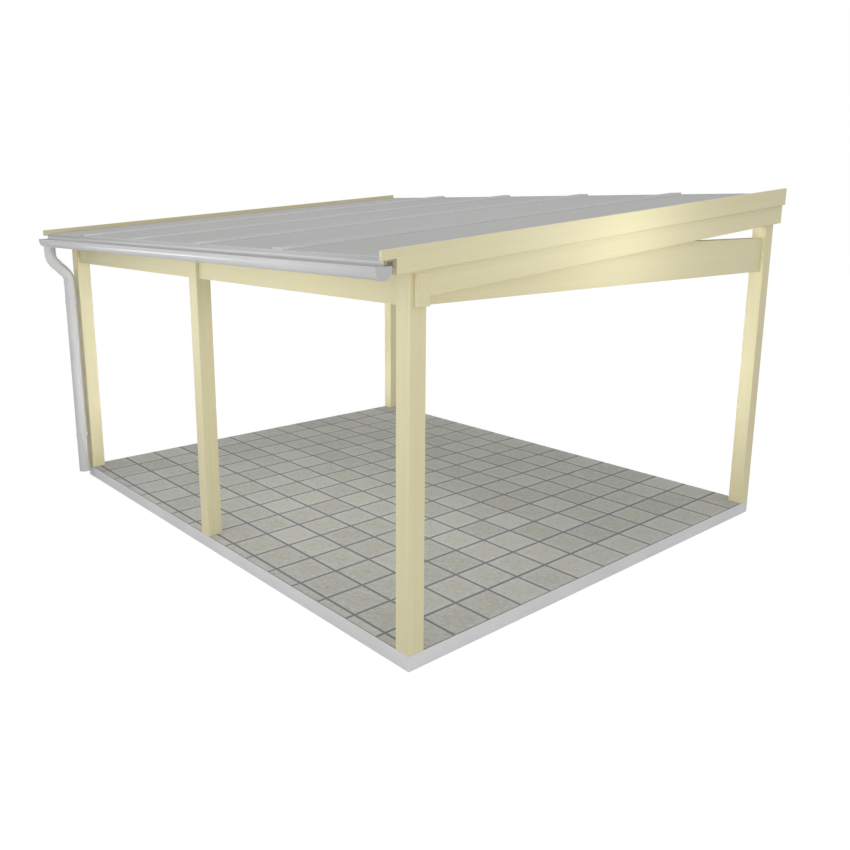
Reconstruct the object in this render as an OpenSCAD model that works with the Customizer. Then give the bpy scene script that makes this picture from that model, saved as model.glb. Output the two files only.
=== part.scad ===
// Garden room frame: glued timber posts and beams, five roof sheets, gutter and downpipe.
// Millimetres. Z up, the ground is z = 0, +Y is the wall side, +X the right-hand gable.

/* [Floor] */
// Length of the floor along the eave
floor_length = 4810; // [4000:10:5400]
// Depth of the floor from the eave to the wall side
floor_depth = 3976; // [3200:2:4600]
// Height of the concrete slab under the tiles
slab_height = 88; // [60:1:140]
// Thickness of the floor tiles
tile_thickness = 10; // [8:1:20]

/* [Posts] */
// Side of a square post
post_size = 115; // [105:1:140]
// Thickness of the tongue a post keeps outside a beam
tongue = 25; // [20:1:30]

/* [Beams] */
// Clear height from the floor to the underside of the beams
headroom = 2004; // [1800:1:2400]
// Depth of the eave beam
eave_beam_depth = 180; // [160:1:200]
// Depth of the wall beam
wall_beam_depth = 150; // [130:1:170]
// Depth of the level tie beam in each gable
tie_beam_depth = 270; // [225:1:290]

/* [Rafters] */
// Slope of the roof in degrees
roof_pitch = 4.87; // [4.6:0.01:5.2]
// Width of a rafter
rafter_width = 56; // [42:1:60]
// Depth of a rafter, square to the slope
rafter_depth = 215; // [205:1:230]
// Depth of the notch over the eave beam and the wall beam
rafter_notch = 126; // [115:1:135]
// Length of the rafters in front of the front posts
eave_overhang = 137; // [120:1:160]
// Length of the rafters behind the back posts
wall_overhang = 60; // [40:1:80]

/* [Bargeboards] */
// Thickness of a bargeboard
board_thickness = 22; // [18:1:28]
// Depth of a bargeboard, square to the slope
board_depth = 130; // [120:1:145]
// Height of a bargeboard above the roof sheets
board_rise = 39; // [30:1:50]
// Length of the bargeboard nose that passes over the gutter
nose_length = 98; // [90:1:120]
// Depth of that nose
nose_depth = 50; // [40:1:56]

/* [Roof sheets] */
// Thickness of the twin-wall sheets
sheet_thickness = 16; // [10:1:20]
// Thickness of the bar foot between a rafter and the sheets
foot_thickness = 6; // [4:1:8]
// Length of the sheets in front of the rafters
sheet_overhang = 63; // [55:1:75]
// Distance between two roof bars
bar_spacing = 1013; // [800:1:1100]
// Distance from the right bargeboard to the first roof bar
first_bay = 971; // [760:1:1050]
// Width of a roof bar
bar_width = 100; // [60:1:110]
// Height of a roof bar above the sheets
bar_height = 17; // [12:1:22]

/* [Gutter] */
// Outside radius of the gutter
gutter_radius = 53; // [50:1:56]
// Height of the straight sides above the round bottom
gutter_side = 19; // [12:1:22]
// Wall of the gutter
gutter_wall = 2; // [1.5:0.1:3]
// Gap between the gutter and the rafter ends
gutter_gap = 32; // [26:1:40]
// Height of the bargeboard nose above the gutter rim
gutter_drop = 28; // [22:1:40]
// Width of a gutter bracket
bracket_width = 20; // [16:1:24]
// Thickness of the gutter brackets and the pipe clips
bracket_wall = 3; // [2:0.5:4]

/* [Downpipe] */
// Outside radius of the downpipe
pipe_radius = 49; // [40:1:50]
// Wall of the downpipe
pipe_wall = 2; // [1.5:0.1:3]
// Gap between the downpipe and the post
pipe_gap = 18; // [12:1:26]
// Middle radius of the two bends
bend_radius = 120; // [100:1:140]
// Angle of the two bends
bend_angle = 45; // [40:1:55]
// Length of the straight drop under the gutter
drop_length = 65; // [50:1:90]
// Height of the open end of the downpipe above the ground
pipe_clear = 68; // [40:1:120]
// Height of a pipe clip
clip_height = 30; // [20:1:40]
// Height of the lower pipe clip above the ground
clip_low = 420; // [200:10:600]
// Distance from the upper pipe clip to the bend
clip_drop = 180; // [100:10:400]

/* [Hidden] */
$fn = 64;
wood = [0.87, 0.84, 0.68];
roof_grey = [0.66, 0.66, 0.66];
metal_grey = [0.80, 0.80, 0.81];
stone = [0.78, 0.78, 0.78];
tile_grey = [0.60, 0.60, 0.57];

floor_top = slab_height + tile_thickness;
half_length = floor_length / 2;
half_depth = floor_depth / 2;
front = -half_depth;
back = half_depth;
beam_width = post_size - tongue;
beam_bottom = floor_top + headroom;
eave_top = beam_bottom + eave_beam_depth;
tie_top = beam_bottom + tie_beam_depth;
beam_inner = front + post_size;
gable_out = rafter_width - tongue;
slope = tan(roof_pitch);
rafter_rise = rafter_depth / cos(roof_pitch);
rafter_front = front - eave_overhang;
rafter_back = back + wall_overhang;
wall_beam_top = underside(back - post_size) + rafter_notch;
wall_beam_bottom = wall_beam_top - wall_beam_depth;
foot_rise = foot_thickness / cos(roof_pitch);
sheet_rise = sheet_thickness / cos(roof_pitch);
sheet_front = rafter_front - sheet_overhang;
sheet_low = rafter_rise + foot_rise;
sheet_high = sheet_low + sheet_rise;
board_high = sheet_high + board_rise;
board_low = board_high - board_depth / cos(roof_pitch);
nose_low = board_high - nose_depth / cos(roof_pitch);
board_inner = half_length + gable_out;
board_outer = board_inner + board_thickness;
edge_gap = 4;
web_width = 10;
web_gap = 2;
cap_wall = 3;
lip = 22;
profile_wall = 2;
drip_depth = 60;
gutter_y = rafter_front - gutter_gap - gutter_radius;
gutter_rim = underside(gutter_y) + nose_low - gutter_drop;
gutter_z = gutter_rim - gutter_side;
bead = 4;
curve_gap = 0.3;
outlet_radius = pipe_radius - pipe_wall - curve_gap;
outlet_length = 35;
bracket_toe = 6;
bracket_arm = 6;
clip_arm = 8;
clip_plate = 22;
pipe_x = -(half_length - post_size / 2);
pipe_y = front - pipe_gap - pipe_radius;
bend_run = (pipe_y - gutter_y - 2 * bend_radius * (1 - cos(bend_angle))) / sin(bend_angle);
bend_fall = 2 * bend_radius * sin(bend_angle) + bend_run * cos(bend_angle);
drop_top = gutter_z - gutter_radius;
drop_bottom = drop_top - drop_length;
straight_top = drop_bottom - bend_fall;

// Height of the underside of a rafter at a given place from front to back.
function underside(y) = eave_top - rafter_notch + (y - beam_inner) * slope;
function bar_x(i) = board_inner - first_bay - (i - 1) * bar_spacing;

module block(x0, x1, y0, y1, z0, z1) {
    translate([x0, y0, z0]) cube([x1 - x0, y1 - y0, z1 - z0]);
}

// A side profile, drawn as [y, z] points, drawn out from x0 to x1.
module side_profile(x0, x1, points) {
    translate([x0, 0, 0]) rotate([90, 0, 90]) linear_extrude(x1 - x0) polygon(points);
}

// A length of roof build-up between two heights above the rafter underside.
module sloped(x0, x1, y0, y1, low, high) {
    side_profile(x0, x1, [[y0, underside(y0) + low], [y1, underside(y1) + low],
        [y1, underside(y1) + high], [y0, underside(y0) + high]]);
}

module front_post(x) {
    difference() {
        block(x - post_size / 2, x + post_size / 2, front, front + post_size, floor_top, eave_top);
        block(x - post_size, x + post_size, front + tongue, front + 2 * post_size, beam_bottom, 2 * eave_top);
    }
}

module back_post() {
    x0 = half_length - post_size;
    x1 = half_length - tongue;
    y0 = back - post_size;
    difference() {
        side_profile(x0, half_length, [[y0, floor_top], [back, floor_top],
            [back, underside(back)], [y0, underside(y0)]]);
        block(x0 - post_size, x1, y0 - post_size, back - tongue, beam_bottom, tie_top);
        block(x0 - post_size, x1, y0 - post_size, back - tongue, wall_beam_bottom, 2 * wall_beam_top);
    }
}

// Level beam in a gable, trimmed under the sheets where it would reach them.
module tie_beam() {
    x0 = half_length - post_size;
    x1 = half_length - tongue;
    intersection() {
        block(x0, x1, beam_inner, back - tongue, beam_bottom, tie_top);
        sloped(x0, x1, beam_inner, back - tongue, -2 * tie_beam_depth, sheet_low);
    }
}

module gable_rafter() {
    side_profile(half_length - tongue, board_inner, [
        [rafter_front, eave_top], [beam_inner, eave_top], [beam_inner, underside(beam_inner)],
        [rafter_back, underside(rafter_back)], [rafter_back, underside(rafter_back) + rafter_rise],
        [rafter_front, underside(rafter_front) + rafter_rise]]);
}

module rafter(i) {
    y0 = back - post_size;
    y1 = back - tongue;
    side_profile(bar_x(i) - rafter_width / 2, bar_x(i) + rafter_width / 2, [
        [rafter_front, eave_top], [beam_inner, eave_top], [beam_inner, underside(beam_inner)],
        [y0, underside(y0)], [y0, wall_beam_top], [y1, wall_beam_top], [y1, underside(y1)],
        [rafter_back, underside(rafter_back)], [rafter_back, underside(rafter_back) + rafter_rise],
        [rafter_front, underside(rafter_front) + rafter_rise]]);
}

module bargeboard() {
    y0 = rafter_front - nose_length;
    side_profile(board_inner, board_outer, [
        [y0, underside(y0) + nose_low], [rafter_front, underside(rafter_front) + nose_low],
        [rafter_front, underside(rafter_front) + board_low], [rafter_back, underside(rafter_back) + board_low],
        [rafter_back, underside(rafter_back) + board_high], [y0, underside(y0) + board_high]]);
}

module roof_sheet(x0, x1) {
    sloped(x0, x1, sheet_front, rafter_back, sheet_low, sheet_high);
}

// Glazing bar: a foot on the rafter, a web between two sheets and a hollow cap over their edges.
// The cap runs over the lips of the eave and wall profiles, and a plate closes each of its ends.
module roof_bar(i) {
    x = bar_x(i);
    y0 = sheet_front - profile_wall;
    y1 = rafter_back + profile_wall;
    seat = sheet_high + profile_wall;
    top = sheet_high + bar_height;
    sloped(x - rafter_width / 2, x + rafter_width / 2, sheet_front, rafter_back, rafter_rise, sheet_low);
    sloped(x - web_width / 2, x + web_width / 2, sheet_front, rafter_back, rafter_rise, sheet_high);
    sloped(x - web_width / 2, x + web_width / 2, sheet_front + lip, rafter_back - lip, rafter_rise, top);
    sloped(x - bar_width / 2, x + bar_width / 2, y0, y1, top - cap_wall, top);
    for (edge = [x - bar_width / 2, x + bar_width / 2 - cap_wall]) {
        sloped(edge, edge + cap_wall, y0, y1, seat, top);
        sloped(edge, edge + cap_wall, sheet_front + lip, rafter_back - lip, sheet_high, top);
    }
    for (y = [y0, y1 - cap_wall])
        sloped(x - bar_width / 2, x + bar_width / 2, y, y + cap_wall, seat, top);
}

// Channel along a gable: a foot on the rafter, a side against the bargeboard and a lip over the sheet.
module edge_profile() {
    x = board_inner - edge_gap;
    high = sheet_high + profile_wall;
    sloped(board_inner - rafter_width, board_inner, sheet_front, rafter_back, rafter_rise, sheet_low);
    sloped(x, board_inner, sheet_front, rafter_back, rafter_rise, high);
    sloped(x - lip, board_inner, sheet_front + lip, rafter_back - lip, sheet_high, high);
}

// Channel profile that closes the sheet ends; the front one has a long drip leg.
module eave_profile() {
    x = board_inner - edge_gap;
    y = sheet_front;
    w = profile_wall;
    high = sheet_high + w;
    side_profile(-x, x, [
        [y - w, underside(y) + high - drip_depth], [y, underside(y) + high - drip_depth],
        [y, underside(y) + sheet_high], [y + lip, underside(y + lip) + sheet_high],
        [y + lip, underside(y + lip) + high], [y - w, underside(y - w) + high]]);
}

module wall_profile() {
    x = board_inner - edge_gap;
    y = rafter_back;
    w = profile_wall;
    side_profile(-x, x, [
        [y + w, underside(y + w) + sheet_low], [y, underside(y) + sheet_low],
        [y, underside(y) + sheet_high], [y - lip, underside(y - lip) + sheet_high],
        [y - lip, underside(y - lip) + sheet_high + w], [y + w, underside(y + w) + sheet_high + w]]);
}

module gutter_shape(r, top) {
    translate([gutter_y, gutter_z]) {
        difference() {
            circle(r);
            translate([-2 * r, 0]) square([4 * r, 2 * r]);
        }
        translate([-r, 0]) square([2 * r, top]);
    }
}

module along_eave(x0, x1) {
    translate([x0, 0, 0]) rotate([90, 0, 90]) linear_extrude(x1 - x0) children();
}

module gutter() {
    difference() {
        union() {
            along_eave(-board_outer, board_outer) gutter_shape(gutter_radius, gutter_side);
            along_eave(-board_outer, board_outer)
                translate([gutter_y - gutter_radius + gutter_wall / 2, gutter_rim - bead]) circle(bead);
            translate([pipe_x, gutter_y, drop_top - outlet_length])
                cylinder(h = outlet_length + gutter_radius / 2, r = outlet_radius);
        }
        along_eave(-board_outer + gutter_wall, board_outer - gutter_wall)
            gutter_shape(gutter_radius - gutter_wall, 2 * gutter_side);
        translate([pipe_x, gutter_y, drop_top - 2 * outlet_length])
            cylinder(h = 2 * outlet_length + gutter_radius, r = outlet_radius - pipe_wall);
    }
}

// Foot on the rafter end, arm across the gap and a cradle behind and under the gutter.
module gutter_bracket(x) {
    inner = gutter_radius + curve_gap;
    outer = inner + bracket_wall;
    along_eave(x - bracket_width / 2, x + bracket_width / 2) {
        difference() {
            gutter_shape(outer, gutter_side);
            gutter_shape(inner, 2 * gutter_side);
            translate([gutter_y - 2 * outer, gutter_z - 2 * outer]) square([2 * outer - bracket_toe, 4 * outer]);
        }
        translate([gutter_y + inner, gutter_z]) square([rafter_front - gutter_y - inner, bracket_arm]);
        translate([rafter_front - bracket_wall, eave_top])
            square([bracket_wall, underside(rafter_front) + rafter_rise - eave_top]);
    }
}

module pipe_ring() {
    difference() {
        circle(pipe_radius);
        circle(pipe_radius - pipe_wall);
    }
}

module pipe_drop() {
    difference() {
        translate([pipe_x, gutter_y, drop_bottom]) linear_extrude(drop_length + gutter_radius) pipe_ring();
        along_eave(-board_outer, board_outer) gutter_shape(gutter_radius + curve_gap, gutter_radius);
    }
}

// The bent run is set out in a plane whose first axis points to the wall side.
module pipe_plane(y, z) {
    translate([pipe_x, y, z]) rotate([90, 0, 90]) children();
}

module upper_elbow() {
    pipe_plane(gutter_y + bend_radius, drop_bottom) rotate([0, 0, 180])
        rotate_extrude(angle = bend_angle) translate([bend_radius, 0]) pipe_ring();
}

module pipe_link() {
    translate([pipe_x, gutter_y + bend_radius * (1 - cos(bend_angle)), drop_bottom - bend_radius * sin(bend_angle)])
        rotate([180 + bend_angle, 0, 0]) linear_extrude(bend_run) pipe_ring();
}

module lower_elbow() {
    pipe_plane(pipe_y - bend_radius, straight_top)
        rotate_extrude(angle = bend_angle) translate([bend_radius, 0]) pipe_ring();
}

module downpipe() {
    translate([pipe_x, pipe_y, pipe_clear]) difference() {
        cylinder(h = straight_top - pipe_clear, r = pipe_radius);
        cylinder(h = straight_top - pipe_clear, r = pipe_radius - pipe_wall);
    }
}

// Ring round the downpipe, arm and plate on the post.
module pipe_clip(z) {
    inner = pipe_radius + curve_gap;
    outer = inner + bracket_wall;
    translate([pipe_x, pipe_y, z]) linear_extrude(clip_height) {
        difference() {
            circle(outer);
            circle(inner);
        }
        translate([-clip_arm, outer - bracket_wall / 2])
            square([2 * clip_arm, pipe_radius + pipe_gap - outer + bracket_wall / 2]);
        translate([-clip_plate, pipe_radius + pipe_gap - bracket_wall]) square([2 * clip_plate, bracket_wall]);
    }
}

module mirrored() {
    mirror([1, 0, 0]) children();
}

color(stone)  // floor_slab
    block(-half_length, half_length, front, back, 0, slab_height);
color(tile_grey)  // floor_tiles
    block(-half_length, half_length, front, back, slab_height, floor_top);
color(wood) front_post(half_length - post_size / 2);  // post_front_right
color(wood) front_post(0);  // post_front_middle
color(wood) front_post(post_size / 2 - half_length);  // post_front_left
color(wood) back_post();  // post_back_right
color(wood) mirrored() back_post();  // post_back_left
color(wood)  // eave_beam
    block(-board_inner, board_inner, front + tongue, beam_inner, beam_bottom, eave_top);
color(wood)  // wall_beam
    block(tongue - half_length, half_length - tongue, back - post_size, back - tongue, wall_beam_bottom, wall_beam_top);
color(wood) tie_beam();  // tie_beam_right
color(wood) mirrored() tie_beam();  // tie_beam_left
color(wood) gable_rafter();  // gable_rafter_right
color(wood) mirrored() gable_rafter();  // gable_rafter_left
color(wood) rafter(1);  // rafter_1
color(wood) rafter(2);  // rafter_2
color(wood) rafter(3);  // rafter_3
color(wood) rafter(4);  // rafter_4
color(wood) bargeboard();  // bargeboard_right
color(wood) mirrored() bargeboard();  // bargeboard_left
color(roof_grey)  // roof_sheet_1
    roof_sheet(bar_x(1) + web_width / 2 + web_gap, board_inner - edge_gap);
color(roof_grey)  // roof_sheet_2
    roof_sheet(bar_x(2) + web_width / 2 + web_gap, bar_x(1) - web_width / 2 - web_gap);
color(roof_grey)  // roof_sheet_3
    roof_sheet(bar_x(3) + web_width / 2 + web_gap, bar_x(2) - web_width / 2 - web_gap);
color(roof_grey)  // roof_sheet_4
    roof_sheet(bar_x(4) + web_width / 2 + web_gap, bar_x(3) - web_width / 2 - web_gap);
color(roof_grey)  // roof_sheet_5
    roof_sheet(edge_gap - board_inner, bar_x(4) - web_width / 2 - web_gap);
color(metal_grey) roof_bar(1);  // roof_bar_1
color(metal_grey) roof_bar(2);  // roof_bar_2
color(metal_grey) roof_bar(3);  // roof_bar_3
color(metal_grey) roof_bar(4);  // roof_bar_4
color(metal_grey) eave_profile();
color(metal_grey) wall_profile();
color(metal_grey) edge_profile();  // edge_profile_right
color(metal_grey) mirrored() edge_profile();  // edge_profile_left
color(metal_grey) gutter();
color(metal_grey) gutter_bracket(board_inner - bracket_width / 2);  // gutter_bracket_1
color(metal_grey) gutter_bracket(bar_x(1));  // gutter_bracket_2
color(metal_grey) gutter_bracket(bar_x(2));  // gutter_bracket_3
color(metal_grey) gutter_bracket(bar_x(3));  // gutter_bracket_4
color(metal_grey) gutter_bracket(bar_x(4));  // gutter_bracket_5
color(metal_grey) gutter_bracket(bracket_width / 2 - board_inner);  // gutter_bracket_6
color(metal_grey) pipe_drop();
color(metal_grey) upper_elbow();
color(metal_grey) pipe_link();
color(metal_grey) lower_elbow();
color(metal_grey) downpipe();
color(metal_grey) pipe_clip(clip_low);  // pipe_clip_1
color(metal_grey) pipe_clip(straight_top - clip_drop - clip_height);  // pipe_clip_2
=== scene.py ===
import math

import bpy
from mathutils import Euler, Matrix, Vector


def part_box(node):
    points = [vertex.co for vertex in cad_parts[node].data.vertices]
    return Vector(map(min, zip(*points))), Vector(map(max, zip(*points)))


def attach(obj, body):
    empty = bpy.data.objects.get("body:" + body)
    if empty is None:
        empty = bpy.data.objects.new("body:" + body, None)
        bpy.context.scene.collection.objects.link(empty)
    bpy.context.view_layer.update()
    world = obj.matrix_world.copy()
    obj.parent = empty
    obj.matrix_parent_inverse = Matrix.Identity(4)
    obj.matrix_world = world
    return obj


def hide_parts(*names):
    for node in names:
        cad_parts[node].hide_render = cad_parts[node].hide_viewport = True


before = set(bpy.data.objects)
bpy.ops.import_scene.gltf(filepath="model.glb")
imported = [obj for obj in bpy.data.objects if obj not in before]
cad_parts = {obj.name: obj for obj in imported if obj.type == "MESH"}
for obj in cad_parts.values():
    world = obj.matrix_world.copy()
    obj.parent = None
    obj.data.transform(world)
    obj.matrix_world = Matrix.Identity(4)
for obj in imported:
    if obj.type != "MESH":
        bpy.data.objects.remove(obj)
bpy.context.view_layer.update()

body = "root"
mm = 0.001
meshWork = {
    "weld": 0.01 * mm,       # points nearer than this are merged
    "cadWeld": 0.02 * mm,    # the same, in a copy of a CAD solid
    "slack": 0.01 * mm,      # room left when points are picked by their height
    "flat": 0.4,             # degrees up to which two faces count as one
    "crisp": 35,             # degrees from which an edge is eased or kept sharp
    "facing": 0.9,           # how squarely a face has to look one way to be picked
}


def nodesOf(*starts):
    # the CAD solids whose names begin with one of these
    return [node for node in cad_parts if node.startswith(starts)]


def objectMode():
    bpy.ops.object.mode_set(mode="OBJECT")


def deselectAll():
    if bpy.context.object and bpy.context.object.mode != "OBJECT":
        objectMode()
    bpy.ops.object.select_all(action="DESELECT")


def makeActive(piece):
    deselectAll()
    piece.select_set(True)
    bpy.context.view_layer.objects.active = piece


def editMode(piece, kind="VERT"):
    makeActive(piece)
    bpy.ops.object.mode_set(mode="EDIT")
    bpy.ops.mesh.select_mode(type=kind)


def chooseAll(piece):
    editMode(piece)
    bpy.ops.mesh.select_all(action="SELECT")


def choose(piece, wanted, kind="VERT"):
    # selects the points, edges or faces whose middle and direction pass the test
    editMode(piece, kind)
    bpy.ops.mesh.select_all(action="DESELECT")
    objectMode()
    mesh = piece.data
    if kind == "VERT":
        for vert in mesh.vertices:
            vert.select = wanted(vert.co, vert.normal)
    elif kind == "EDGE":
        for edge in mesh.edges:
            start, end = [mesh.vertices[i].co for i in edge.vertices]
            edge.select = wanted((start + end) / 2, (end - start).normalized())
    else:
        for face in mesh.polygons:
            face.select = wanted(face.center, face.normal)
    bpy.ops.object.mode_set(mode="EDIT")


def named(name):
    # the primitive just added, with its place and size put into its mesh
    piece = bpy.context.object
    piece.name = piece.data.name = name
    bpy.ops.object.transform_apply(location=True, rotation=True, scale=True)
    return piece


def addBlock(name, low, high):
    deselectAll()
    low, high = Vector(low), Vector(high)
    bpy.ops.mesh.primitive_cube_add(size=1, location=(low + high) / 2)
    bpy.context.object.scale = high - low
    return named(name)


def addSlopedBlock(name, low, high, rise):
    # a block whose far end stands higher by rise
    piece = addBlock(name, low, high)
    middle = (low[1] + high[1]) / 2
    choose(piece, lambda co, normal: co.y > middle)
    bpy.ops.transform.translate(value=(0, 0, rise))
    objectMode()
    return piece


def addRod(name, radius, start, end, count):
    deselectAll()
    start, end = Vector(start), Vector(end)
    axis = end - start
    bpy.ops.mesh.primitive_cylinder_add(vertices=count, radius=radius, depth=axis.length,
                                        location=(start + end) / 2,
                                        rotation=axis.to_track_quat("Z", "Y").to_euler())
    return named(name)


def modify(piece, kind, **settings):
    # adds one modifier and applies it
    modifier = piece.modifiers.new(kind.lower(), kind)
    for key, value in settings.items():
        setattr(modifier, key, value)
    makeActive(piece)
    bpy.ops.object.modifier_apply(modifier=modifier.name)


def mend(piece):
    # doubles merged, normals turned out
    chooseAll(piece)
    bpy.ops.mesh.remove_doubles(threshold=meshWork["weld"])
    bpy.ops.mesh.normals_make_consistent(inside=False)
    objectMode()


def smooth(piece, angle=meshWork["crisp"]):
    # soft shading over small edges, flat faces kept flat
    makeActive(piece)
    bpy.ops.object.shade_smooth_by_angle(angle=math.radians(angle))
    modify(piece, "WEIGHTED_NORMAL", keep_sharp=True)


def ease(piece, width, segments=2, angle=meshWork["crisp"]):
    # rounds every sharp edge
    modify(piece, "BEVEL", width=width, segments=segments, limit_method="ANGLE",
           angle_limit=math.radians(angle), use_clamp_overlap=True)
    smooth(piece, angle)


def joinAll(pieces):
    makeActive(pieces[0])
    for piece in pieces[1:]:
        piece.select_set(True)
    bpy.ops.object.join()
    return pieces[0]


def combine(piece, tool, operation):
    # adds the tool's solid to the piece or cuts it away
    modify(piece, "BOOLEAN", operation=operation, object=tool, solver="EXACT")
    bpy.data.objects.remove(tool, do_unlink=True)


def dress(piece, finish, slot, *nodes):
    piece.data.materials.clear()
    piece.data.materials.append(finish)
    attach(piece, body)
    if nodes:
        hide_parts(*nodes)


def dressCopy(node, ending, finish, slot, arris, segments=2):
    # a CAD solid's own merged copy, with eased edges, which stands for it
    piece = bpy.data.objects.new(node + ending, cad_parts[node].data.copy())
    piece.data.name = node + ending
    bpy.context.scene.collection.objects.link(piece)
    makeActive(piece)
    bpy.ops.mesh.customdata_custom_splitnormals_clear()
    chooseAll(piece)
    bpy.ops.mesh.remove_doubles(threshold=meshWork["cadWeld"])
    bpy.ops.mesh.dissolve_limited(angle_limit=math.radians(meshWork["flat"]))
    objectMode()
    ease(piece, arris, segments)
    dress(piece, finish, slot, node)


class Signal:
    # one output of a material's nodes, which sums can be written with
    def __init__(self, finish, socket):
        self.finish, self.socket = finish, socket

    def sum(self, operation, *values):
        return self.finish.node("ShaderNodeMath", {"operation": operation}, dict(enumerate(values)))

    def __add__(self, other):
        return self.sum("ADD", self, other)

    __radd__ = __add__

    def __sub__(self, other):
        return self.sum("SUBTRACT", self, other)

    def __rsub__(self, other):
        return self.sum("SUBTRACT", other, self)

    def __mul__(self, other):
        return self.sum("MULTIPLY", self, other)

    __rmul__ = __mul__

    def __truediv__(self, other):
        return self.sum("DIVIDE", self, other)

    def __pow__(self, other):
        return self.sum("POWER", self, other)

    def floor(self):
        return self.sum("FLOOR", self)

    def fraction(self):
        return self.sum("FRACT", self)

    def size(self):
        return self.sum("ABSOLUTE", self)

    def smaller(self, other):
        return self.sum("MINIMUM", self, other)

    def larger(self, other):
        return self.sum("MAXIMUM", self, other)

    def held(self):
        # kept between 0 and 1
        return self.larger(0).smaller(1)

    def swing(self, reach):
        # from 0 to 1 made to go to both sides of 0
        return (self - 0.5) * reach

    def fade(self, start, end):
        # 0 at start, 1 at end, soft between
        return self.finish.node("ShaderNodeMapRange", {"interpolation_type": "SMOOTHSTEP"},
                                {"Value": self, "From Min": start, "From Max": end})


class Finish:
    # one material, or the world, built from nodes
    def __init__(self, owner):
        self.owner = owner
        owner.use_nodes = True
        self.tree = owner.node_tree
        self.tree.nodes.clear()

    def node(self, kind, settings, inputs, output=0):
        made = self.tree.nodes.new(kind)
        for key, value in settings.items():
            setattr(made, key, value)
        for key, value in inputs.items():
            socket = made.inputs[key]
            if isinstance(value, Signal):
                self.tree.links.new(value.socket, socket)
            else:
                socket.default_value = value
        return Signal(self, made.outputs[output]) if made.outputs else None

    def place(self, shift=(0, 0, 0), turn=(0, 0, 0)):
        # object coordinates, centred and turned to suit the piece, as three numbers
        spot = self.node("ShaderNodeTexCoord", {}, {}, "Object")
        spot = self.node("ShaderNodeMapping", {"vector_type": "POINT"},
                         {"Vector": spot, "Location": shift, "Rotation": turn})
        return [self.node("ShaderNodeSeparateXYZ", {}, {0: spot}, i) for i in range(3)]

    def point(self, x, y, z):
        return self.node("ShaderNodeCombineXYZ", {}, {0: x, 1: y, 2: z})

    def noise(self, spot, scale=1, detail=2, rough=0.5):
        return self.node("ShaderNodeTexNoise", {"noise_dimensions": "3D"},
                         {"Vector": spot, "Scale": scale, "Detail": detail, "Roughness": rough}, "Fac")

    def lot(self, value):
        # a steady random number for each whole value
        return self.node("ShaderNodeTexWhiteNoise", {"noise_dimensions": "1D"}, {"W": value}, "Value")

    def blend(self, share, first, second):
        return self.node("ShaderNodeMix", {"data_type": "RGBA"},
                         {0: share, 6: colour(first), 7: colour(second)}, 2)

    def tones(self, share, shade, reach):
        # one shade, from its dark end to its light end
        dark, light = reach
        return self.blend(share, scaled(shade, dark), scaled(shade, light))

    def bump(self, height, strength, distance):
        return self.node("ShaderNodeBump", {},
                         {"Height": height, "Strength": strength, "Distance": distance})

    def shader(self, **inputs):
        words = {key.replace("_", " "): value for key, value in inputs.items()}
        surface = self.node("ShaderNodeBsdfPrincipled", {}, words, "BSDF")
        self.node("ShaderNodeOutputMaterial", {}, {"Surface": surface})
        return self.owner


def colour(value):
    if isinstance(value, Signal):
        return value
    return (*value, 1)


def scaled(shade, factor):
    return tuple(min(1, part * factor) for part in shade)


def newFinish(name):
    return Finish(bpy.data.materials.new(name))


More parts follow.
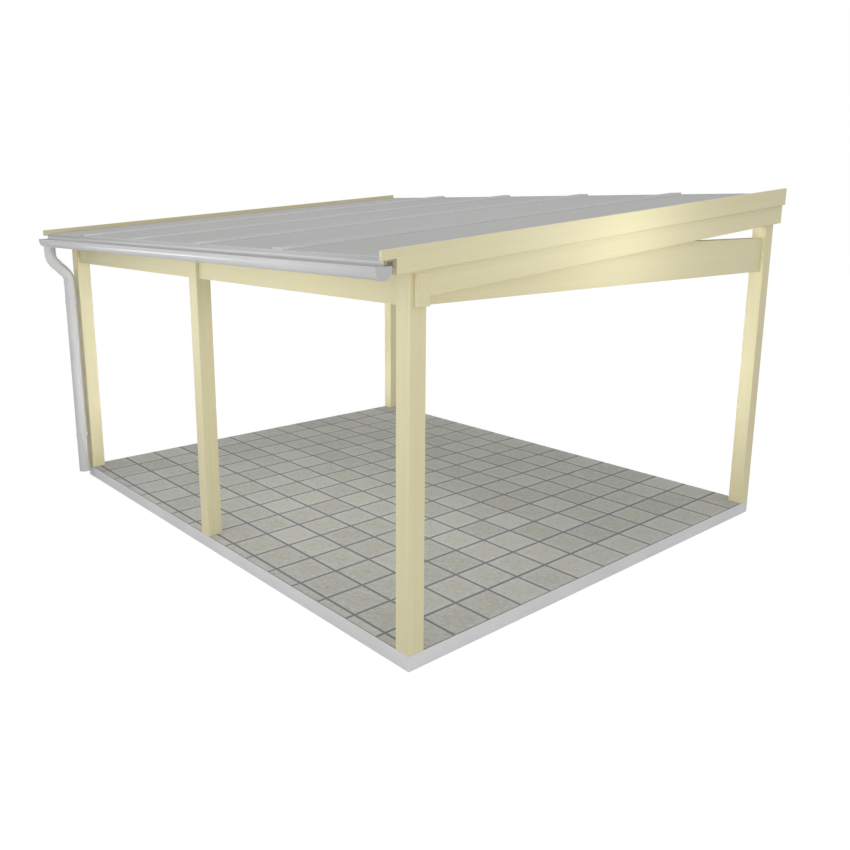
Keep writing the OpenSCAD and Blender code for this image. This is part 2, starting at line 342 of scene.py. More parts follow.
# View, light and floor.
viewLook = {
    "place": (5.62271, -4.86084, 2.60782),
    "tilt": 77.770, "roll": -0.04, "heading": 49.167,
    "lens": 35.1529, "sensor": 36, "shift": (0.03308, -0.04360), "near": 0.05, "far": 200,
}
skyLook = {"strength": 0.74}
floorLook = {"size": 60, "drop": 0.2 * mm, "shade": 0.85, "rough": 0.9, "seen": 0.16, "glow": 0.90}
lampLook = {
    # the whole frame
    "corner": {"place": (6.4, -5.0, 1.5), "aim": (1.0, -1.0, 1.4), "size": (2.6, 2.0), "power": 36},
    "above": {"place": (0.5, -1.0, 8.0), "aim": (0.0, 0.0, 2.5), "size": (6.0, 6.0), "power": 60},
    # eave beam and gutter, from right to left
    "front": {"place": (1.5, -4.1, 2.0), "aim": (1.4, -2.0, 2.15), "size": (1.2, 0.5),
              "power": 6.6, "spread": 120},
    "middle": {"place": (-0.4, -4.1, 2.0), "aim": (-0.4, -2.0, 2.15), "size": (1.2, 0.5),
               "power": 4.6, "spread": 120},
    "left": {"place": (-6.4, -5.2, 0.6), "aim": (-0.6, -2.2, 2.2), "size": (1.0, 0.8),
             "power": 1.4, "spread": 30},
    # right gable
    "gable": {"place": (3.39, -0.15, 2.48), "aim": (2.4, -0.15, 2.48), "size": (0.25, 0.25),
              "power": 4.3},
    "fill": {"place": (5.6, -1.6, 0.4), "aim": (2.4, -0.8, 2.25), "size": (2.5, 0.4),
             "power": 1.5, "spread": 70},
    # tiles
    "ceiling": {"place": (0.2, -0.9, 2.05), "aim": (0.2, -0.91, 0.0), "size": (3.5, 1.4),
                "power": 26, "gleam": False},
    # back posts
    "wall": {"place": (0.0, -1.2, 1.3), "aim": (0.0, 1.9, 1.4), "size": (4.6, 1.0),
             "power": 23, "spread": 50, "gleam": False},
    # left front post and the pipe's elbow
    "post": {"place": (1.2, -1.2, 1.35), "aim": (-2.35, -2.02, 1.3), "size": (0.3, 2.0),
             "power": 1.65, "spread": 20},
    "elbow": {"place": (1.2, -3.6, 2.15), "aim": (-2.35, -2.14, 2.15), "size": (0.3, 0.3),
              "power": 0.11, "spread": 8},
    # feet of the back posts, and the top of the right one
    "side": {"place": (4.4, -0.6, 0.4), "aim": (2.4, 1.8, 0.2), "size": (0.4, 0.4),
             "power": 0.22, "spread": 40},
    "foot": {"place": (-1.2, -1.7, 0.5), "aim": (-1.5, 1.9, 0.4), "size": (2.0, 0.4),
             "power": 2.4, "spread": 20, "gleam": False},
    "strip": {"place": (3.2, -5.5, 2.4), "aim": (2.4, 1.87, 2.3), "size": (0.2, 0.2),
              "power": 0.25, "spread": 9},
    "gap": {"place": (1.8, -0.6, 2.38), "aim": (2.35, 1.87, 2.42), "size": (0.15, 0.04),
            "power": 0.13, "spread": 12},
}
wideOpen = 180               # the spread of a lamp that states none


def addCamera():
    data = bpy.data.cameras.new("camera")
    data.sensor_width = viewLook["sensor"]
    data.lens = viewLook["lens"]
    data.shift_x, data.shift_y = viewLook["shift"]
    data.clip_start, data.clip_end = viewLook["near"], viewLook["far"]
    camera = bpy.data.objects.new("camera", data)
    bpy.context.scene.collection.objects.link(camera)
    camera.location = viewLook["place"]
    camera.rotation_euler = [math.radians(viewLook[key]) for key in ("tilt", "roll", "heading")]
    bpy.context.scene.camera = camera


def addLamp(name, look):
    data = bpy.data.lights.new(name, "AREA")
    data.shape = "RECTANGLE"
    data.size, data.size_y = look["size"]
    data.energy = look["power"]
    data.spread = math.radians(look.get("spread", wideOpen))
    lamp = bpy.data.objects.new(name, data)
    bpy.context.scene.collection.objects.link(lamp)
    lamp.location = look["place"]
    ray = Vector(look["aim"]) - Vector(look["place"])
    lamp.rotation_euler = ray.to_track_quat("-Z", "Y").to_euler()
    lamp.visible_camera = False
    lamp.visible_glossy = look.get("gleam", True)


def addSky():
    # white where it is seen or mirrored, and dimmer where it lights
    sky = Finish(bpy.data.worlds.new("studio"))
    bpy.context.scene.world = sky.owner
    rays = [sky.node("ShaderNodeLightPath", {}, {}, key)
            for key in ("Is Camera Ray", "Is Glossy Ray", "Is Transmission Ray")]
    seen = rays[0].larger(rays[1]).larger(rays[2])
    strength = seen + (1 - seen) * skyLook["strength"]
    light = sky.node("ShaderNodeBackground", {}, {"Color": (1, 1, 1, 1), "Strength": strength})
    sky.node("ShaderNodeOutputWorld", {}, {"Surface": light})


def addStudioFloor():
    deselectAll()
    bpy.ops.mesh.primitive_plane_add(size=floorLook["size"], location=(0, 0, -floorLook["drop"]))
    floor = named("studio_floor")
    finish = newFinish("studioFloor")
    camera = finish.node("ShaderNodeLightPath", {}, {}, "Is Camera Ray")
    shade = finish.blend(camera, (floorLook["shade"],) * 3, (floorLook["seen"],) * 3)
    glow = finish.blend(camera, (0, 0, 0), (floorLook["glow"],) * 3)
    floor.data.materials.append(finish.shader(
        Base_Color=shade, Roughness=floorLook["rough"], Specular_IOR_Level=0.0,
        Emission_Color=glow, Emission_Strength=1.0))


addCamera()
addSky()
for lampName, look in lampLook.items():
    addLamp(lampName, look)
addStudioFloor()
bpy.context.scene.view_settings.view_transform = "Standard"
print("view, light and floor made")


# Slab, floor tiles and grout.
slabLook = {
    "shade": (0.705, 0.705, 0.715), "tones": (0.93, 1.04),
    "rim": 2 * mm, "rimDrop": 0.5 * mm, "arris": 0.75 * mm,
    "cloud": 2.2, "speck": 160, "pore": 55, "poreEdge": (0.06, 0.16),
    "relief": (0.35, 0.8 * mm), "rough": 0.75, "gloss": 0.3,
}
tileLook = {
    "columns": 16, "rowPitch": 0.300, "joint": 17 * mm, "thickness": 6 * mm, "arris": 0.8 * mm,
    "middle": (0.478, 0.477, 0.432), "edge": (0.522, 0.528, 0.518),
    "dirt": (0.260, 0.263, 0.248), "warm": (0.490, 0.470, 0.385),
    "lots": ((7, 113, 0), (31, 17, 0.5)),      # column, row and start of each tile's two lots
    "jump": 9,                                 # how far a lot moves the pattern
    "cloud": 9, "mottle": 38, "speck": 260, "brush": (14, 90),
    "relief": (0.25, 0.8 * mm), "rough": 0.6, "gloss": 0.22,
}
groutLook = {
    "shade": (0.200, 0.203, 0.190), "tones": (0.8, 1.25), "drop": 1.5 * mm, "arris": 0.3 * mm,
    "cloud": 3, "sand": 420, "relief": (0.4, 0.5 * mm), "rough": 0.9, "gloss": 0.05,
}

slabLow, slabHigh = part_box("floor_slab")
tilesLow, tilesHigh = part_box("floor_tiles")
columnPitch = (tilesHigh[0] - tilesLow[0]) / tileLook["columns"]
rowCount = int((tilesHigh[1] - tilesLow[1]) / tileLook["rowPitch"])
cutDepth = (tilesHigh[1] - tilesLow[1]) - rowCount * tileLook["rowPitch"]


def slabFinish():
    finish = newFinish("castConcrete")
    spot = finish.point(*finish.place())
    cloud = finish.noise(spot, slabLook["cloud"], detail=3)
    speck = finish.noise(spot, slabLook["speck"], rough=0.7)
    pore = finish.node("ShaderNodeTexVoronoi", {"feature": "F1"},
                       {"Vector": spot, "Scale": slabLook["pore"]}, "Distance")
    hole = 1 - pore.fade(*slabLook["poreEdge"])
    share = cloud.fade(0.3, 0.7) * 0.6 + speck * 0.4 - hole * 0.5
    return finish.shader(Base_Color=finish.tones(share, slabLook["shade"], slabLook["tones"]),
                         Roughness=slabLook["rough"] + cloud * 0.15,
                         Normal=finish.bump(speck * 0.3 - hole, *slabLook["relief"]),
                         Specular_IOR_Level=slabLook["gloss"])


def addSlab():
    # a block whose rim stands up round the tiles
    slab = addBlock("slab", slabLow, slabHigh)
    inner = (slabHigh[1] - slabLow[1]) / 4      # the rim's faces have their middles outside this
    choose(slab, lambda middle, normal: normal.z > meshWork["facing"], "FACE")
    bpy.ops.mesh.inset(thickness=slabLook["rim"])
    choose(slab, lambda middle, normal: (normal.z > meshWork["facing"]
                                         and max(abs(middle.x), abs(middle.y)) > inner), "FACE")
    rimRise = tilesHigh[2] - slabHigh[2] - slabLook["rimDrop"]
    bpy.ops.mesh.extrude_region_move(TRANSFORM_OT_translate={"value": (0, 0, rimRise)})
    chooseAll(slab)
    bpy.ops.mesh.dissolve_limited(angle_limit=math.radians(meshWork["flat"]))
    objectMode()
    ease(slab, slabLook["arris"])
    dress(slab, slabFinish(), "concrete", "floor_slab")


def tileFinish():
    # stoneware: every tile has its own clouds, a warm middle, a pale rim and brushed dirt
    finish = newFinish("stonewareTile")
    x, y, z = finish.place((-tilesHigh[0], -tilesHigh[1], 0))
    column, row = x / columnPitch, y / tileLook["rowPitch"]
    lot, other = [finish.lot(column.floor() * first + row.floor() * second + start)
                  for first, second, start in tileLook["lots"]]
    across, along = column - column.floor(), row - row.floor()
    reach = (across - 0.5).size().larger((along - 0.5).size())      # 0 in the middle, 0.5 at the joint
    spot = finish.point(x + lot * tileLook["jump"], y + other * tileLook["jump"], z)
    cloud = finish.noise(spot, tileLook["cloud"], detail=3, rough=0.6)
    mottle = finish.noise(spot, tileLook["mottle"], detail=4, rough=0.65)
    speck = finish.noise(spot, tileLook["speck"], rough=0.6)
    length, width = tileLook["brush"]
    brush = finish.noise(finish.point((x + y) * length + lot * 5, (x - y) * width, other * 7),
                         detail=3, rough=0.6)
    rim = (reach + mottle.swing(0.16)).fade(0.26, 0.50)
    pale = rim * 0.8 + cloud.swing(1.1) + other.swing(0.3) + 0.15
    tone = finish.blend(pale.held(), tileLook["middle"], tileLook["edge"])
    warmth = (1 - (reach + cloud.swing(0.3)).fade(0.05, 0.30)) * lot
    tone = finish.blend(warmth * 0.7, tone, tileLook["warm"])
    dirt = 0.25 + mottle.swing(1.7) + brush.swing(1.3) + speck.swing(0.5) + lot.swing(0.4)
    tone = finish.blend(dirt.held() * 0.75, tone, tileLook["dirt"])
    tone = finish.blend(reach.fade(0.435, 0.480) * 0.4, tone, groutLook["shade"])
    height = cloud * 0.6 + mottle * 0.3 + speck * 0.1
    return finish.shader(Base_Color=tone, Roughness=tileLook["rough"] + mottle * 0.25,
                         Normal=finish.bump(height, *tileLook["relief"]),
                         Specular_IOR_Level=tileLook["gloss"])


def groutFinish():
    finish = newFinish("tileGrout")
    spot = finish.point(*finish.place())
    cloud, sand = finish.noise(spot, groutLook["cloud"]), finish.noise(spot, groutLook["sand"])
    return finish.shader(
        Base_Color=finish.tones(cloud * 0.6 + sand * 0.4, groutLook["shade"], groutLook["tones"]),
        Roughness=groutLook["rough"], Normal=finish.bump(sand, *groutLook["relief"]),
        Specular_IOR_Level=groutLook["gloss"])


def addTile(name, low, high, rows):
    # one tile, then a copy for every place
    tile = addBlock(name, low, high)
    choose(tile, lambda middle, along: middle.z > high[2] - meshWork["slack"], "EDGE")
    bpy.ops.mesh.bevel(offset=tileLook["arris"], segments=2)
    objectMode()
    modify(tile, "ARRAY", count=tileLook["columns"], use_relative_offset=False, use_constant_offset=True,
           constant_offset_displace=(-columnPitch, 0, 0))
    if rows > 1:
        modify(tile, "ARRAY", count=rows, use_relative_offset=False, use_constant_offset=True,
               constant_offset_displace=(0, -tileLook["rowPitch"], 0))
    return tile


def addTiles():
    # whole rows from the wall outwards, then the cut row at the front
    half = tileLook["joint"] / 2
    east, wall, top = tilesHigh
    west, low = east - columnPitch, top - tileLook["thickness"]
    whole = addTile("floor_tiling", (west + half, wall - tileLook["rowPitch"] + half, low),
                    (east - half, wall - half, top), rowCount)
    cut = addTile("cut_tiles", (west + half, tilesLow[1] + half, low),
                  (east - half, tilesLow[1] + cutDepth - half, top), 1)
    tiling = joinAll([whole, cut])
    smooth(tiling)
    dress(tiling, tileFinish(), "floor_tile", "floor_tiles")


def addGrout():
    rim = slabLook["rim"]
    bed = addBlock("grout_bed", (tilesLow[0] + rim, tilesLow[1] + rim, tilesLow[2]),
                   (tilesHigh[0] - rim, tilesHigh[1] - rim, tilesHigh[2] - groutLook["drop"]))
    ease(bed, groutLook["arris"], 1)
    dress(bed, groutFinish(), "floor_tile")


addSlab()
addTiles()
addGrout()
print("slab and floor tiles made")


# Timbers.
timberLook = {
    "dark": (0.628, 0.570, 0.338), "light": (0.775, 0.733, 0.487), "flush": (0.740, 0.640, 0.430),
    "arris": 1.5 * mm, "pitch": 4.87, "lamella": 42 * mm, "ring": 4.5 * mm,
    "step": 3.7, "lotStep": 11,                # what moves the pattern on from timber to timber
    "heartSide": 0.12, "heartDepth": (0.03, 0.05), "wander": 0.030,
    # noise per metre, along the grain and across it
    "sway": (0.9, 5), "streak": (0.8, 34), "fibre": (9, 900), "broad": (0.5, 2), "blush": (0.35, 22),
    "streakDepth": {"upright": 0.55, "lengthwise": 0.55, "crosswise": 0.35, "sloping": 0.35},
    "relief": (0.10, 0.4 * mm), "rough": 0.42, "gloss": 0.4,
}
grainOf = {
    "post": "upright", "eave_beam": "lengthwise", "wall_beam": "lengthwise", "tie_beam": "crosswise",
    "gable_rafter": "sloping", "rafter": "sloping", "bargeboard": "sloping",
}
timbers = nodesOf(*grainOf)


def timberFinish(node, number):
    # glued spruce under a thin cream coat: lamellas, growth rings, long fibres
    finish = newFinish("creamTimber_" + node)
    low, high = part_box(node)
    grain = next(grainOf[key] for key in grainOf if node.startswith(key))
    turn = (-math.radians(timberLook["pitch"]), 0, 0) if grain == "sloping" else (0, 0, 0)
    centre = (Vector(low) + Vector(high)) / 2
    centre.rotate(Euler(turn))
    x, y, z = finish.place(tuple(-centre), turn)
    along, across, deep = {"upright": (z, x, y), "lengthwise": (x, y, z),
                           "crosswise": (y, x, z), "sloping": (y, x, z)}[grain]
    along = along + number * timberLook["step"]

    def drawn(key, detail=2, rough=0.5, shift=0):
        # noise drawn out along the grain
        length, width = timberLook[key]
        return finish.noise(finish.point(along * length + shift, across * width, deep * width),
                            detail=detail, rough=rough)

    lamella = deep / timberLook["lamella"] + 0.5
    layer = lamella.floor()
    lot = finish.lot(layer + number * timberLook["lotStep"])
    heart = across + lot.swing(timberLook["heartSide"])
    depth, spread = timberLook["heartDepth"]
    depth = deep - layer * timberLook["lamella"] + depth + lot * spread
    radius = (heart * heart + depth * depth) ** 0.5 + drawn("sway").swing(timberLook["wander"])
    ring = (radius / timberLook["ring"]).fraction()
    line = ring.fade(0.35, 0.95) * (1 - ring.fade(0.95, 1.0))
    streak, fibre, broad = drawn("streak", 3, 0.6), drawn("fibre"), drawn("broad")
    share = (0.5 + streak.swing(timberLook["streakDepth"][grain]) + broad.swing(0.35)
             + lot.swing(0.14) + fibre.swing(0.3) - line * 0.12)
    tone = finish.blend(share.held(), timberLook["dark"], timberLook["light"])
    blush = drawn("blush", shift=5).fade(0.45, 0.75)
    tone = finish.blend(blush * 0.35, tone, timberLook["flush"])
    seam = (lamella.fraction() - 0.5).size().fade(0.485, 0.5)
    tone = finish.blend(seam * 0.12, tone, timberLook["dark"])
    height = (1 - line) * 0.35 + fibre * 0.4 + streak * 0.25
    return finish.shader(Base_Color=tone, Roughness=timberLook["rough"] + fibre * 0.14 + line * 0.05,
                         Normal=finish.bump(height, *timberLook["relief"]),
                         Specular_IOR_Level=timberLook["gloss"])


def addTimbers():
    for number, node in enumerate(timbers):
        dressCopy(node, "_timber", timberFinish(node, number), "timber", timberLook["arris"], 3)


addTimbers()
print("timbers made:", len(timbers))


# Roof sheets, bars, profiles and lips.
sheetLook = {
    "shade": (0.490, 0.488, 0.484), "tones": (0.94, 1.05), "arris": 0.6 * mm,
    "rib": 16 * mm, "ribEdge": (0.40, 0.5), "dust": (1.5, 0.4), "film": 45,
    "relief": (0.10, 0.2 * mm), "rough": 0.72, "gloss": 0.01,
}
coatLook = {"tones": (0.965, 1.03), "dust": 2.5, "peel": 520, "relief": (0.05, 0.1 * mm)}
barLook = {"shade": (0.505, 0.503, 0.498), "rough": 0.7, "gloss": 0.02, "arris": 0.6 * mm}
eaveLook = {
    "shade": (0.475, 0.475, 0.480), "rough": 0.5, "gloss": 0.30, "arris": 0.5 * mm,
    # pale, foot and fade: the profile's lower band is lightened, a painted highlight against the shade
    # above the gutter rim
    "pale": 1.55, "foot": 20.5 * mm, "fade": 6 * mm,
}
lipLook = {
    # the lips' near-white shade is a painted highlight that makes the bars' sides read lit
    "shade": (0.780, 0.780, 0.775), "tones": (0.93, 1.05), "arris": 0.7 * mm,
    "width": 2 * mm, "height": 14 * mm, "below": 0.5 * mm,
    "foot": 2.4 * mm, "footInset": 27 * mm, "footThin": 0.2 * mm, "footLap": 2 * mm,
    "grime": 30, "relief": (0.1, 0.2 * mm), "rough": 0.7, "gloss": 0.1,
}
roofSlope = math.tan(math.radians(timberLook["pitch"]))


def sheetFinish():
    # twin-wall sheet: faint lines where the inner webs meet the skin
    finish = newFinish("twinWallSheet")
    x, y, z = finish.place()
    line = ((x / sheetLook["rib"]).fraction() - 0.5).size().fade(*sheetLook["ribEdge"])
    side, down = sheetLook["dust"]
    dust = finish.noise(finish.point(x * side, y * down, z), detail=3)
    film = finish.noise(finish.point(x, y, z), sheetLook["film"])
    share = 0.45 + dust.swing(0.6) + film.swing(0.2) + line * 0.25
    return finish.shader(Base_Color=finish.tones(share.held(), sheetLook["shade"], sheetLook["tones"]),
                         Roughness=sheetLook["rough"] + film * 0.12,
                         Normal=finish.bump(line, *sheetLook["relief"]),
                         Specular_IOR_Level=sheetLook["gloss"])


def paintedFinish(name, look, foot=None):
    # powder coat: a fine orange-peel skin and a little dust; where a foot height is given, the band below
    # it is made lighter, a painted highlight that lifts the shade above the gutter rim
    finish = newFinish(name)
    x, y, z = finish.place()
    spot = finish.point(x, y, z)
    dust = finish.noise(spot, coatLook["dust"], detail=3)
    peel = finish.noise(spot, coatLook["peel"], detail=1)
    tone = finish.tones(dust.fade(0.3, 0.7) * 0.8 + peel * 0.2, look["shade"], coatLook["tones"])
    if foot:
        # painted highlight: the lower band of the face is lightened to cancel the shade where it meets
        # the gutter
        tone = finish.blend(z.fade(foot - look["fade"], foot), scaled(look["shade"], look["pale"]), tone)
    return finish.shader(Base_Color=tone, Roughness=look["rough"] + dust.swing(0.12),
                         Normal=finish.bump(peel, *coatLook["relief"]), Specular_IOR_Level=look["gloss"])


def lipPaintedHighlightFinish():
    finish = newFinish("sideLip")
    grime = finish.noise(finish.point(*finish.place()), lipLook["grime"], detail=3)
    # painted highlight: the near-white lip stands for light on the bars' sides
    return finish.shader(Base_Color=finish.tones(grime, lipLook["shade"], lipLook["tones"]),
                         Roughness=lipLook["rough"], Normal=finish.bump(grime, *lipLook["relief"]),
                         Specular_IOR_Level=lipLook["gloss"])


def addRoof():
    sheetMaterial = sheetFinish()
    barMaterial = paintedFinish("barCoat", barLook)
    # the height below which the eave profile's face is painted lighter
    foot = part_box("eave_profile")[1][2] - eaveLook["foot"]
    eaveMaterialWithPaintedLight = paintedFinish("eaveCoat", eaveLook, foot)
    for node in nodesOf("roof_sheet"):
        dressCopy(node, "_twin_wall", sheetMaterial, "roof_sheet", sheetLook["arris"])
    for node in nodesOf("roof_bar", "edge_profile"):
        dressCopy(node, "_coated", barMaterial, "roof_trim", barLook["arris"])
    for node in ("eave_profile", "wall_profile"):
        dressCopy(node, "_coated", eaveMaterialWithPaintedLight, "roof_trim", eaveLook["arris"])


def addLip(name, x, start, top, length, material):
    # a sloping strip with a thinner foot that rests in the bar's channel
    width, inset, thin = lipLook["width"], lipLook["footInset"], lipLook["footThin"]
    end, bottom = start + length, top - lipLook["height"]
    strip = addSlopedBlock(name, (x, start, bottom), (x + width, end, top), length * roofSlope)
    footTop = bottom + inset * roofSlope
    foot = addSlopedBlock("foot", (x + thin, start + inset, footTop - lipLook["foot"]),
                          (x + width - thin, end - inset, footTop + lipLook["footLap"]),
                          (length - 2 * inset) * roofSlope)
    combine(strip, foot, "UNION")
    ease(strip, lipLook["arris"])
    dress(strip, material, "roof_trim")


def addLips():
    # a soft lip along both sides of every bar, its pale shade a painted highlight for the bars' lit sides
    material = lipPaintedHighlightFinish()
    for node in nodesOf("roof_bar"):
        low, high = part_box(node)
        length = high[1] - low[1]
        top = high[2] - length * roofSlope - lipLook["below"]
        for side, x in (("left", low[0] - lipLook["width"]), ("right", high[0])):
            addLip(node + "_lip_" + side, x, low[1], top, length, material)


addRoof()
addLips()
print("roof sheets, bars, profiles and lips made")


# Gutter and pipe.
gutterLook = {
    # the gutter's shade is the pipe's coat made darker, painted shade that tones down the light falling
    # on the gutter
    "shade": (0.50, 0.50, 0.505), "rough": 0.30, "gloss": 0.28, "crisp": 30, "steps": 96,
    "radius": 53 * mm, "side": 19 * mm, "wall": 2 * mm, "bead": 4 * mm, "beadSteps": 24,
    "capInset": 0.5 * mm, "capSlack": 0.1 * mm,
    "skirt": 9 * mm, "skirtWall": 0.8 * mm, "skirtLap": 0.4 * mm, "skirtDrop": 1 * mm,
    "outletTop": 0.4, "cutter": 0.1, "boreLead": 20 * mm,
}
pipeLook = {
    "shade": (0.585, 0.585, 0.590), "rough": 0.46, "gloss": 0.28, "crisp": 50, "steps": 72,
    "radius": 49 * mm, "wall": 2 * mm, "arris": 0.5 * mm,
    "bend": 120 * mm, "angle": 45, "bendSteps": 14,
    "outlet": 35 * mm, "collar": 36 * mm, "collarWall": 1.2 * mm,
    "gap": 0.3 * mm, "dropLap": 10 * mm, "dropCrisp": 40,
}

gutterLow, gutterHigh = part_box("gutter")
dropLow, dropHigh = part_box("pipe_drop")
downLow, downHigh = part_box("downpipe")
pipeX = (downLow[0] + downHigh[0]) / 2
pipeY = (downLow[1] + downHigh[1]) / 2
gutterY = (dropLow[1] + dropHigh[1]) / 2
gutterRim = gutterHigh[2]
gutterZ = gutterRim - gutterLook["side"]       # where the half round ends and the sides begin


def gutterSection(name, radius, side, x, filled=False):
    # half-round section with straight sides, across the eave
    deselectAll()
    bpy.ops.mesh.primitive_circle_add(vertices=gutterLook["steps"], radius=radius,
                                      location=(x, gutterY, gutterZ), rotation=(0, math.radians(90), 0))
    section = named(name)
    choose(section, lambda co, normal: co.z > gutterZ + meshWork["slack"])
    bpy.ops.mesh.delete(type="VERT")
    choose(section, lambda co, normal: co.z > gutterZ - meshWork["slack"])
    bpy.ops.mesh.extrude_vertices_move(TRANSFORM_OT_translate={"value": (0, 0, side)})
    if filled:
        bpy.ops.mesh.select_all(action="SELECT")
        bpy.ops.mesh.edge_face_add()
    objectMode()
    return section


def drawOut(piece, run):
    # extrudes everything in the section by the run
    chooseAll(piece)
    bpy.ops.mesh.extrude_region_move(TRANSFORM_OT_translate={"value": run})
    objectMode()
    mend(piece)


def gutterShape(name, growth):
    # the gutter's inside, grown by this much, over the pipe: cuts what meets it there
    reach = gutterLook["cutter"]
    shape = gutterSection(name, gutterLook["radius"] + growth, gutterLook["side"], pipeX - reach, True)
    drawOut(shape, (2 * reach, 0, 0))
    return shape


def addCap(trough, name, x, run):
    # an end plate and its thin skirt over the trough
    wall, radius, side = gutterLook["wall"], gutterLook["radius"], gutterLook["side"]
    slack, skirtWall = gutterLook["capSlack"], gutterLook["skirtWall"]
    plate = gutterSection(name, radius - slack, side - slack, x, True)
    drawOut(plate, (run * wall, 0, 0))
    combine(trough, plate, "UNION")
    skirt = gutterSection(name + "_skirt", radius + skirtWall / 2, side - gutterLook["skirtDrop"], x)
    drawOut(skirt, (run * gutterLook["skirt"], 0, 0))
    modify(skirt, "SOLIDIFY", thickness=skirtWall + gutterLook["skirtLap"], offset=0)
    mend(skirt)
    combine(trough, skirt, "UNION")


def addBead(trough):
    # the round bead along the front rim
    bead = gutterLook["bead"]
    y, z = gutterY - gutterLook["radius"] + gutterLook["wall"] / 2, gutterRim - bead
    rod = addRod("front_bead", bead, (gutterLow[0], y, z), (gutterHigh[0], y, z), gutterLook["beadSteps"])
    combine(trough, rod, "UNION")


def addOutlet(trough):
    # the spout that stands in the pipe
    wall, radius, steps = gutterLook["wall"], gutterLook["radius"], pipeLook["steps"]
    outer = pipeLook["radius"] - pipeLook["wall"] - pipeLook["gap"]
    top, bottom = gutterZ - radius * gutterLook["outletTop"], gutterZ - radius - pipeLook["outlet"]
    outlet = addRod("outlet", outer, (pipeX, gutterY, bottom), (pipeX, gutterY, top), steps)
    combine(outlet, gutterShape("inside", -wall), "DIFFERENCE")
    combine(trough, outlet, "UNION")
    bore = addRod("bore", outer - pipeLook["wall"], (pipeX, gutterY, bottom - gutterLook["boreLead"]),
                  (pipeX, gutterY, gutterZ), steps)
    combine(trough, bore, "DIFFERENCE")


def addGutter(material):
    wall, inset = gutterLook["wall"], gutterLook["capInset"]
    west, east = gutterLow[0], gutterHigh[0]
    trough = gutterSection("gutter_trough", gutterLook["radius"] - wall / 2, gutterLook["side"],
                           west + inset)
    drawOut(trough, (east - west - 2 * inset, 0, 0))
    modify(trough, "SOLIDIFY", thickness=wall, offset=0)
    mend(trough)
    addCap(trough, "cap_west", west, 1)
    addCap(trough, "cap_east", east, -1)
    addBead(trough)
    addOutlet(trough)
    mend(trough)
    smooth(trough, gutterLook["crisp"])
    dress(trough, material, "rainwater", "gutter")


def ringAt(name, radius, centre, tilt=0.0):
    # a circle square to the pipe, which leans by tilt about X
    deselectAll()
    bpy.ops.mesh.primitive_circle_add(vertices=pipeLook["steps"], radius=radius, location=centre,
                                      rotation=(tilt, 0, 0))
    return named(name)


def finishTube(tube, wall):
    # gives the drawn-out or spun ring its wall, inwards
    mend(tube)
    modify(tube, "SOLIDIFY", thickness=wall, offset=-1, use_even_offset=True)
    mend(tube)
    ease(tube, pipeLook["arris"], angle=pipeLook["crisp"])
    return tube


def addTube(name, radius, wall, start, end):
    start, end = Vector(start), Vector(end)
    axis = (end - start).normalized()
    tube = ringAt(name, radius, start, math.atan2(-axis.y, axis.z))
    drawOut(tube, tuple(end - start))
    return finishTube(tube, wall)


def addElbow(name, start, centre, angle):
    # a ring spun round a line along X
    tube = ringAt(name, pipeLook["radius"], start)
    chooseAll(tube)
    bpy.ops.mesh.spin(steps=pipeLook["bendSteps"], angle=-angle, center=centre, axis=(1, 0, 0))
    objectMode()
    return finishTube(tube, pipeLook["wall"])


def addPipe(material):
    radius, wall, bend = pipeLook["radius"], pipeLook["wall"], pipeLook["bend"]
    angle = math.radians(pipeLook["angle"])
    dropBottom, straightTop = dropLow[2], downHigh[2]
    bendY, bendZ = bend * (1 - math.cos(angle)), bend * math.sin(angle)
    linkTop = Vector((pipeX, gutterY + bendY, dropBottom - bendZ))
    linkEnd = Vector((pipeX, pipeY - bendY, straightTop + bendZ))

    drop = addTube("pipe_drop_tube", radius, wall, (pipeX, gutterY, dropBottom),
                   (pipeX, gutterY, gutterZ - pipeLook["dropLap"]))
    combine(drop, gutterShape("under", pipeLook["gap"]), "DIFFERENCE")
    smooth(drop, pipeLook["dropCrisp"])
    upper = addElbow("upper_elbow_tube", (pipeX, gutterY, dropBottom),
                     (pipeX, gutterY + bend, dropBottom), angle)
    link = addTube("pipe_link_tube", radius, wall, linkEnd, linkTop)
    lower = addElbow("lower_elbow_tube", (pipeX, pipeY, straightTop),
                     (pipeX, pipeY - bend, straightTop), angle)
    down = addTube("downpipe_tube", radius, wall, (pipeX, pipeY, downLow[2]), (pipeX, pipeY, straightTop))
    for tube, node in ((drop, "pipe_drop"), (upper, "upper_elbow"), (link, "pipe_link"),
                       (lower, "lower_elbow"), (down, "downpipe")):
        dress(tube, material, "rainwater", node)

    lean = (linkTop - linkEnd).normalized()
    length = pipeLook["collar"]
    for name, start, end in (
            ("upper_collar", (pipeX, gutterY, dropBottom), (pipeX, gutterY, dropBottom + length)),
            ("link_collar", linkTop - lean * length, linkTop),
            ("lower_collar", linkEnd, linkEnd + lean * length),
            ("down_collar", (pipeX, pipeY, straightTop - length), (pipeX, pipeY, straightTop))):
        collar = addTube(name, radius + pipeLook["collarWall"], pipeLook["collarWall"], start, end)
        dress(collar, material, "rainwater")


def addFixings(material):
    # brackets under the gutter and clips round the pipe
    for node in nodesOf("gutter_bracket", "pipe_clip"):
        dressCopy(node, "_strap", material, "rainwater", pipeLook["arris"])


# the gutter's coat: the pipe's paint made darker as painted shade
gutterMaterialPaintedShade = paintedFinish("gutterCoat", gutterLook)
pipeMaterial = paintedFinish("pipeCoat", pipeLook)
addGutter(gutterMaterialPaintedShade)
addPipe(pipeMaterial)
addFixings(pipeMaterial)
print("gutter, pipe, brackets and clips made")


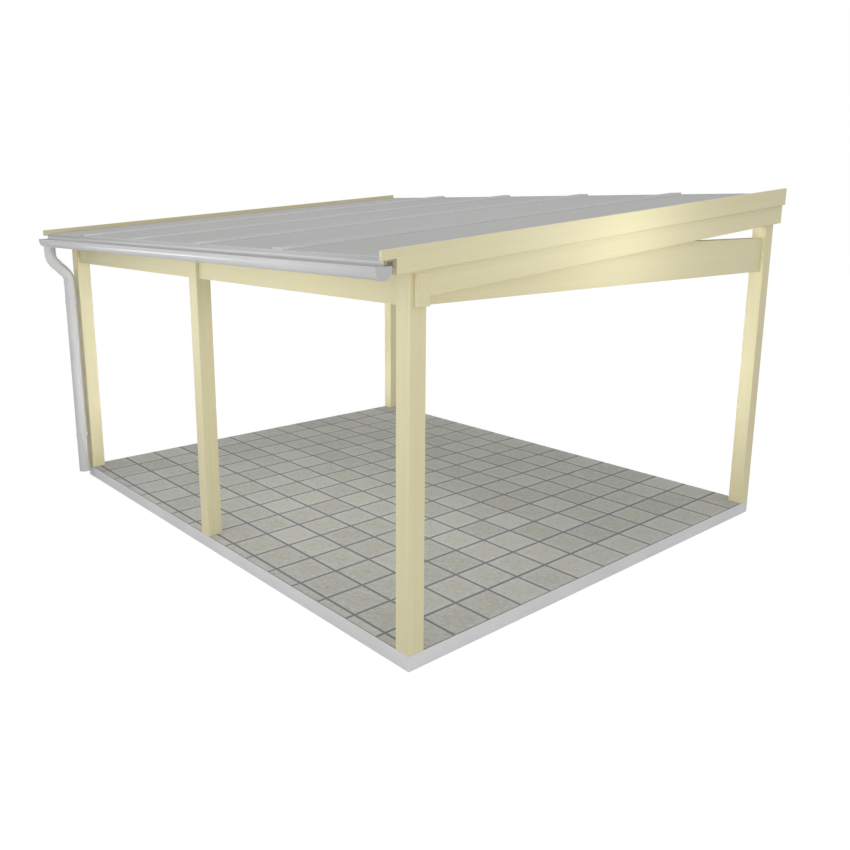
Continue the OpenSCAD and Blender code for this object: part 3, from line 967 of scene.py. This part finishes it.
# Screws.
screwLook = {
    "shade": (0.62, 0.62, 0.60), "tones": (0.85, 1), "cloud": 350, "rough": 0.3, "crisp": 30,
    "radius": 4.2 * mm, "height": 2.8 * mm, "steps": 24, "dome": 0.45,
    "socket": 2.2 * mm, "socketFloor": 0.35, "socketLead": 1.5,
    "plate": 3 * mm, "side": 14.5 * mm, "footDrops": (14 * mm, 40 * mm),
}


def screwFinish():
    finish = newFinish("zincScrew")
    cloud = finish.noise(finish.point(*finish.place()), screwLook["cloud"], detail=3)
    return finish.shader(Base_Color=finish.tones(cloud, screwLook["shade"], screwLook["tones"]),
                         Roughness=screwLook["rough"] + cloud * 0.2, Metallic=1.0)


def addFirstScrew():
    # a pan head with a hexagon socket, pointing to the front
    height = screwLook["height"]
    screw = addRod("screw", screwLook["radius"], (0, 0, 0), (0, -height, 0), screwLook["steps"])
    choose(screw, lambda middle, normal: normal.y < -meshWork["facing"], "FACE")
    bpy.ops.mesh.bevel(offset=height * screwLook["dome"], segments=3)
    objectMode()
    socket = addRod("socket", screwLook["socket"], (0, -height * screwLook["socketLead"], 0),
                    (0, -height * screwLook["socketFloor"], 0), 6)
    combine(screw, socket, "DIFFERENCE")
    smooth(screw, screwLook["crisp"])
    return screw


def screwSpots():
    # two in every bracket's foot and two in every clip's plate
    spots = []
    for node in nodesOf("gutter_bracket"):
        low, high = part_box(node)
        for drop in screwLook["footDrops"]:
            spots.append(((low[0] + high[0]) / 2, high[1] - screwLook["plate"], high[2] - drop))
    for node in nodesOf("pipe_clip"):
        low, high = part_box(node)
        for side in (-screwLook["side"], screwLook["side"]):
            spots.append((pipeX + side, high[1] - screwLook["plate"], (low[2] + high[2]) / 2))
    return spots


def addScrews():
    material, first, spots = screwFinish(), addFirstScrew(), screwSpots()
    for number, spot in enumerate(spots):
        screw = bpy.data.objects.new("screw_%d" % (number + 1), first.data.copy())
        bpy.context.scene.collection.objects.link(screw)
        screw.location = spot
        makeActive(screw)
        bpy.ops.object.transform_apply(location=True, rotation=True, scale=True)
        dress(screw, material, "rainwater")
    bpy.data.objects.remove(first, do_unlink=True)
    print("screws made:", len(spots))


addScrews()
